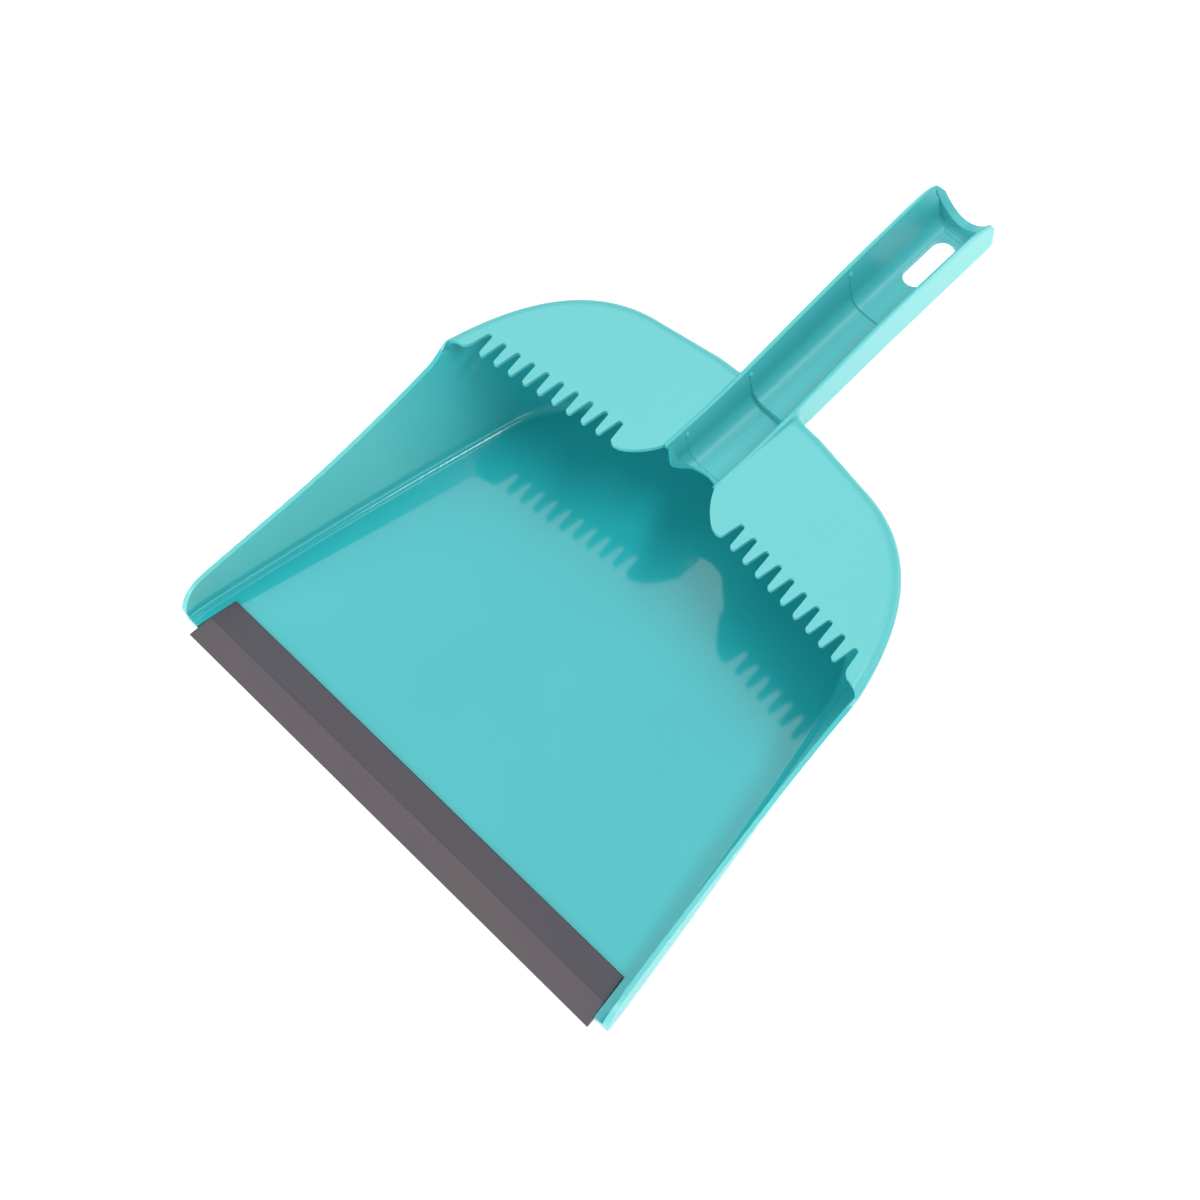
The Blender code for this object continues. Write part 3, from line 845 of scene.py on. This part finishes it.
def soft_edges(obj, width, angle):
    bevel = obj.modifiers.new("Soft edges", "BEVEL")
    bevel.width = width
    bevel.segments = BEVEL_STEPS
    bevel.limit_method = "ANGLE"
    bevel.angle_limit = math.radians(angle)
    bevel.use_clamp_overlap = True
    bevel.loop_slide = True
    bevel.miter_outer = "MITER_ARC"
    bake(obj)


def smooth_faces(obj, angle):
    obj.data.shade_smooth()
    obj.data.set_sharp_from_angle(angle=math.radians(angle))
    weighted = obj.modifiers.new("Even shading", "WEIGHTED_NORMAL")
    weighted.weight = 50
    weighted.keep_sharp = True
    bake(obj)


def add_mesh(obj, extra):
    """Puts another object's closed shells into this one, set into its surface."""
    mesh = bmesh.new()
    mesh.from_mesh(obj.data)
    mesh.from_mesh(extra.data)
    mesh.to_mesh(obj.data)
    mesh.free()
    bpy.data.objects.remove(extra, do_unlink=True)


def clean(obj):
    """Merges doubles and removes the cuts' needless points."""
    mesh = bmesh.new()
    mesh.from_mesh(obj.data)
    bmesh.ops.remove_doubles(mesh, verts=mesh.verts, dist=WELD_DISTANCE)
    bmesh.ops.dissolve_degenerate(mesh, edges=mesh.edges, dist=WELD_DISTANCE)
    mesh.to_mesh(obj.data)
    mesh.free()


def paint(obj, material):
    obj.data.materials.clear()
    obj.data.materials.append(material)


def build_pan(material):
    tray, comb, handle, lip = sizes()
    pan = tray_block(tray)
    tools = [combine(pan, tray_cavity(tray), "DIFFERENCE")]
    tools.append(combine(pan, rim_cutter(tray), "DIFFERENCE"))
    tools.append(combine(pan, hood_front_cutter(tray, comb, material), "DIFFERENCE"))
    tools.append(combine(pan, handle_block(handle), "UNION"))
    for side in (-1, 1):
        tools.append(combine(pan, root_fillet(tray, handle, side), "UNION"))
    tools.append(combine(pan, trough_front_cutter(tray, handle, comb), "DIFFERENCE"))
    for cutter in trough_cutters(handle):
        tools.append(combine(pan, cutter, "DIFFERENCE"))
    tools.append(combine(pan, end_fillet(handle), "UNION"))
    tools.append(combine(pan, saddle_cutter(handle), "DIFFERENCE"))
    tools.append(combine(pan, slot_cutter(handle), "DIFFERENCE"))
    tools.append(combine(pan, lip_recess_cutter(tray, lip), "DIFFERENCE"))
    bake(pan, tools)
    clean(pan)
    soft_edges(pan, tray.edge_softness, PAN_BEVEL_ANGLE)
    add_mesh(pan, step_beads(handle, material))
    smooth_faces(pan, PAN_SHARP_ANGLE)
    paint(pan, material)
    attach(pan, "root")
    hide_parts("pan")


def build_lip(material):
    lip = sizes()[3]
    back = lip.back - lip.clearance
    foot = lip.tongue_front - lip.clearance
    seat = lip.tongue_height + lip.clearance
    profile = (
        (0.0, 0.0),
        (foot, 0.0),
        (foot, seat),
        (back, seat),
        (back, lip.back_height),
        (lip.crease + 1.0 * MM, lip.crease_height),
        (lip.crease + 0.5 * MM, lip.crease_height - lip.crease_groove),
        (lip.crease, lip.crease_height),
        (0.0, lip.edge_height),
    )
    strip = lip_prism(lip, "soft_lip", profile, 0.0)
    soft_edges(strip, LIP_SOFTNESS, LIP_BEVEL_ANGLE)
    smooth_faces(strip, LIP_SHARP_ANGLE)
    paint(strip, material)
    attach(strip, "root")
    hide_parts("rubber_lip")


# Materials


class NodePad:
    """Short calls for adding and joining shader nodes."""

    def __init__(self, name):
        self.material = bpy.data.materials.new(name)
        self.material.use_nodes = True
        self.tree = self.material.node_tree
        self.shader = self.tree.nodes["Principled BSDF"]
        self.place = self.add("ShaderNodeTexCoord").outputs["Object"]

    def add(self, kind, **settings):
        node = self.tree.nodes.new(kind)
        for key, value in settings.items():
            setattr(node, key, value)
        return node

    def join(self, output, socket):
        self.tree.links.new(output, socket)

    def noise(self, scale, detail=2.0, roughness=0.5, stretch=(1, 1, 1)):
        mapping = self.add("ShaderNodeMapping")
        mapping.inputs["Scale"].default_value = stretch
        self.join(self.place, mapping.inputs["Vector"])
        node = self.add("ShaderNodeTexNoise")
        node.inputs["Scale"].default_value = scale
        node.inputs["Detail"].default_value = detail
        node.inputs["Roughness"].default_value = roughness
        self.join(mapping.outputs[0], node.inputs["Vector"])
        return node.outputs["Fac"]

    def spread(self, value, low, high, start=0.3, end=0.7):
        node = self.add("ShaderNodeMapRange")
        self.join(value, node.inputs["Value"])
        node.inputs["From Min"].default_value = start
        node.inputs["From Max"].default_value = end
        node.inputs["To Min"].default_value = low
        node.inputs["To Max"].default_value = high
        return node.outputs["Result"]

    def tint(self, value, dark, light):
        node = self.add("ShaderNodeMix", data_type="RGBA")
        self.join(value, node.inputs["Factor"])
        for name, shade in (("A", dark), ("B", light)):
            socket = [s for s in node.inputs if s.name == name and s.type == "RGBA"][0]
            if isinstance(shade, tuple):
                socket.default_value = (*shade, 1.0)
            else:
                self.join(shade, socket)
        return [s for s in node.outputs if s.type == "RGBA"][0]

    def math(self, operation, a, b):
        node = self.add("ShaderNodeMath", operation=operation)
        for socket, value in zip(node.inputs, (a, b)):
            if isinstance(value, (int, float)):
                socket.default_value = value
            else:
                self.join(value, socket)
        return node.outputs[0]

    def strongest(self, areas):
        """The highest of several (mask, weight) products."""
        best = None
        for mask, weight in areas:
            value = self.math("MULTIPLY", mask, weight)
            best = value if best is None else self.math("MAXIMUM", best, value)
        return best

    def bump(self, height, strength, distance, below=None):
        node = self.add("ShaderNodeBump")
        node.inputs["Strength"].default_value = strength
        node.inputs["Distance"].default_value = distance
        self.join(height, node.inputs["Height"])
        if below is not None:
            self.join(below, node.inputs["Normal"])
        return node.outputs["Normal"]


def plastic_material(tone, painted_sheen_tint):
    """Glossy moulded plastic, with a satin finish on the hood's top, walls and handle, where a
    paler colour is painted in as sheen.
    """
    pad = NodePad("glossy_aqua_plastic")
    shader = pad.shader
    top, outside, walls, trough = finish_areas(pad)
    cloud = pad.spread(pad.noise(14.0, 3.0, 0.55), 0.0, 1.0)
    dark = tuple(c * 0.98 for c in tone)
    light = tuple(min(1.0, c * 1.02 + 0.002) for c in tone)
    # Painted sheen: the satin areas' colour is pulled towards the pale tint
    painted_sheen = pad.strongest((
        (top, TOP_PAINTED_SHEEN), (outside, OUTSIDE_PAINTED_SHEEN), (walls, WALL_PAINTED_SHEEN),
        (trough, TROUGH_PAINTED_SHEEN),
    ))
    pad.join(pad.tint(painted_sheen, pad.tint(cloud, dark, light), painted_sheen_tint), shader.inputs["Base Color"])
    scratches = pad.noise(900.0, 2.0, 0.6, (1.0, 0.035, 1.0))
    marks = pad.spread(scratches, 0.0, 1.0, 0.62, 0.78)
    rough = pad.spread(pad.noise(38.0, 4.0, 0.6), 0.06, 0.09, 0.0, 1.0)
    rough = pad.math("ADD", rough, pad.math("MULTIPLY", marks, 0.03))
    satin = pad.strongest(((top, 1.0), (outside, 1.0), (walls, WALL_SATIN), (trough, TROUGH_SATIN)))
    rough = pad.math("ADD", rough, pad.math("MULTIPLY", satin, SATIN_ROUGHNESS))
    pad.join(rough, shader.inputs["Roughness"])
    skin = pad.bump(pad.noise(1500.0, 2.0, 0.5), 0.05, 0.01 * MM)
    pad.join(pad.bump(marks, 0.05, 0.01 * MM, skin), shader.inputs["Normal"])
    shader.inputs["IOR"].default_value = 1.49
    shader.inputs["Specular IOR Level"].default_value = 0.5
    return pad.material


def finish_areas(pad):
    """Masks for the hood's top, the handle's outer sides, the tray's walls and the trough."""
    axes = pad.add("ShaderNodeSeparateXYZ")
    pad.join(pad.place, axes.inputs[0])
    aside = pad.math("ABSOLUTE", axes.outputs["X"], 0.0)
    outside = pad.spread(aside, 0.0, 1.0, *OUTSIDE_X)
    behind = pad.spread(axes.outputs["Y"], 0.0, 1.0, *BEHIND_Y)
    high = pad.spread(axes.outputs["Z"], 0.0, 1.0, *HIGH_Z)
    over_floor = pad.spread(axes.outputs["Z"], 0.0, 1.0, *OVER_FLOOR_Z)
    front_part = pad.spread(axes.outputs["Y"], 1.0, 0.0, *FRONT_PART_Y)
    in_trough = pad.spread(axes.outputs["Z"], 0.0, 1.0, *IN_TROUGH_Z)
    between = pad.math("SUBTRACT", 1.0, outside)
    return (
        pad.math("MULTIPLY", high, outside),
        pad.math("MULTIPLY", behind, outside),
        pad.math("MULTIPLY", over_floor, front_part),
        pad.math("MULTIPLY", in_trough, between),
    )


def rubber_material(tone):
    """Matt soft rubber, with painted shade darkening it behind the crease, with fine grain and
    faint lines along it.
    """
    pad = NodePad("soft_grey_rubber")
    shader = pad.shader
    axes = pad.add("ShaderNodeSeparateXYZ")
    pad.join(pad.place, axes.inputs[0])
    crease = LIP_FRONT + sizes()[3].crease
    back = pad.spread(axes.outputs["Y"], 0.0, 1.0, crease, crease + 0.6 * MM)
    patches = pad.spread(pad.noise(30.0, 4.0, 0.6, (0.6, 1.0, 1.0)), 0.0, 1.0)
    violet = (tone[0] * 0.95, tone[1] * 0.93, tone[2] * 1.08)
    warm = (tone[0] * 1.05, tone[1] * 1.02, tone[2] * 0.95)
    # Painted shade: a darker, bluer copy of the rubber for the band behind the crease
    shaded = (tone[0] * 0.62, tone[1] * 0.68, tone[2] * 0.76)
    mottled = pad.tint(patches, violet, warm)
    colour_out = pad.tint(pad.math("MULTIPLY", back, 0.8), mottled, shaded)
    pad.join(colour_out, shader.inputs["Base Color"])
    lines = pad.noise(1600.0, 1.0, 0.5, (0.01, 1.0, 1.0))
    grain = pad.noise(2600.0, 2.0, 0.6)
    pad.join(pad.spread(patches, 0.5, 0.62, 0.0, 1.0), shader.inputs["Roughness"])
    soft = pad.bump(lines, 0.25, 0.02 * MM)
    pad.join(pad.bump(grain, 0.35, 0.03 * MM, soft), shader.inputs["Normal"])
    shader.inputs["IOR"].default_value = 1.5
    shader.inputs["Specular IOR Level"].default_value = 0.35
    return pad.material


def floor_material(tone):
    pad = NodePad("pale_studio_floor")
    cloud = pad.spread(pad.noise(3.0, 2.0), 0.0, 1.0)
    light = tuple(min(1.0, c * 1.01) for c in tone)
    pad.join(pad.tint(cloud, tone, light), pad.shader.inputs["Base Color"])
    pad.join(pad.bump(pad.noise(400.0, 2.0), 0.05, 0.05 * MM), pad.shader.inputs["Normal"])
    pad.shader.inputs["Emission Color"].default_value = (*tone, 1.0)
    pad.shader.inputs["Emission Strength"].default_value = FLOOR_GLOW
    pad.shader.inputs["Roughness"].default_value = 0.85
    pad.shader.inputs["Specular IOR Level"].default_value = 0.2
    return pad.material


# Studio


def area_light(name, place, target, size, power):
    data = bpy.data.lights.new(name, "AREA")
    data.shape = "RECTANGLE"
    data.size, data.size_y = size
    data.energy = power
    lamp = bpy.data.objects.new(name, data)
    lamp.location = place
    lamp.rotation_euler = (Vector(target) - Vector(place)).to_track_quat("-Z", "Y").to_euler()
    bpy.context.scene.collection.objects.link(lamp)


def build_floor(material):
    mesh = bmesh.new()
    bmesh.ops.create_grid(mesh, x_segments=4, y_segments=4, size=FLOOR_SIZE)
    floor = new_object("studio_floor", mesh)
    paint(floor, material)


def build_camera():
    """Looks down on the pan from beyond its right front corner, slightly rolled."""
    data = bpy.data.cameras.new("camera")
    data.lens = CAMERA_LENS
    data.sensor_width = CAMERA_SENSOR
    data.clip_start, data.clip_end = 0.05, 20.0
    right = Vector(CAMERA_RIGHT)
    back = Vector(CAMERA_BACK).normalized()
    up = back.cross(right).normalized()
    right = up.cross(back)
    turn = Matrix((right, up, back)).transposed().to_4x4()
    camera = bpy.data.objects.new("camera", data)
    camera.matrix_world = Matrix.Translation(CAMERA_PLACE) @ turn
    bpy.context.scene.collection.objects.link(camera)
    bpy.context.scene.camera = camera


def build_world():
    world = bpy.data.worlds.new("studio")
    world.use_nodes = True
    world.node_tree.nodes["Background"].inputs["Color"].default_value = (1.0, 1.0, 1.0, 1.0)
    world.node_tree.nodes["Background"].inputs["Strength"].default_value = WORLD_STRENGTH
    bpy.context.scene.world = world


def build_lights():
    for lamp in LAMPS:
        area_light(*lamp)
    bpy.context.scene.view_settings.view_transform = "Standard"


# Operators, panel and registration


class DUSTPAN_OT_pan(bpy.types.Operator):
    """Builds the moulded pan with its hood, comb and handle"""

    bl_idname = "dustpan.pan"
    bl_label = "Moulded pan"

    def execute(self, context):
        finish = context.scene.dustpan_finish
        build_pan(plastic_material(tuple(finish.plastic), tuple(finish.painted_sheen_tint)))
        return {"FINISHED"}


class DUSTPAN_OT_lip(bpy.types.Operator):
    """Builds the soft strip along the front edge"""

    bl_idname = "dustpan.lip"
    bl_label = "Soft lip"

    def execute(self, context):
        build_lip(rubber_material(tuple(context.scene.dustpan_finish.rubber)))
        return {"FINISHED"}


class DUSTPAN_OT_stage(bpy.types.Operator):
    """Builds the floor, lights, background and camera"""

    bl_idname = "dustpan.stage"
    bl_label = "Studio"

    def execute(self, context):
        build_floor(floor_material(tuple(context.scene.dustpan_finish.floor)))
        build_world()
        build_lights()
        build_camera()
        return {"FINISHED"}


class DUSTPAN_PT_panel(bpy.types.Panel):
    bl_label = "Dustpan"
    bl_idname = "DUSTPAN_PT_panel"
    bl_space_type = "VIEW_3D"
    bl_region_type = "UI"
    bl_category = "Dustpan"

    def draw(self, context):
        layout = self.layout
        for name in GROUPS:
            box = layout.box()
            group = getattr(context.scene, name)
            for key in group.__annotations__:
                box.prop(group, key)
        for operator in OPERATORS:
            layout.operator(operator.bl_idname)


GROUPS = {
    "dustpan_tray": TraySizes,
    "dustpan_comb": CombSizes,
    "dustpan_handle": HandleSizes,
    "dustpan_lip": LipSizes,
    "dustpan_finish": Finish,
}
OPERATORS = (DUSTPAN_OT_pan, DUSTPAN_OT_lip, DUSTPAN_OT_stage)


def register():
    for group in GROUPS.values():
        bpy.utils.register_class(group)
    for name, group in GROUPS.items():
        setattr(bpy.types.Scene, name, PointerProperty(type=group))
    for operator in OPERATORS:
        bpy.utils.register_class(operator)
    bpy.utils.register_class(DUSTPAN_PT_panel)


def unregister():
    bpy.utils.unregister_class(DUSTPAN_PT_panel)
    for operator in reversed(OPERATORS):
        bpy.utils.unregister_class(operator)
    for name in GROUPS:
        delattr(bpy.types.Scene, name)
    for group in reversed(list(GROUPS.values())):
        bpy.utils.unregister_class(group)


def main():
    register()
    bpy.ops.dustpan.pan()
    bpy.ops.dustpan.lip()
    bpy.ops.dustpan.stage()


if __name__ == "__main__":
    main()
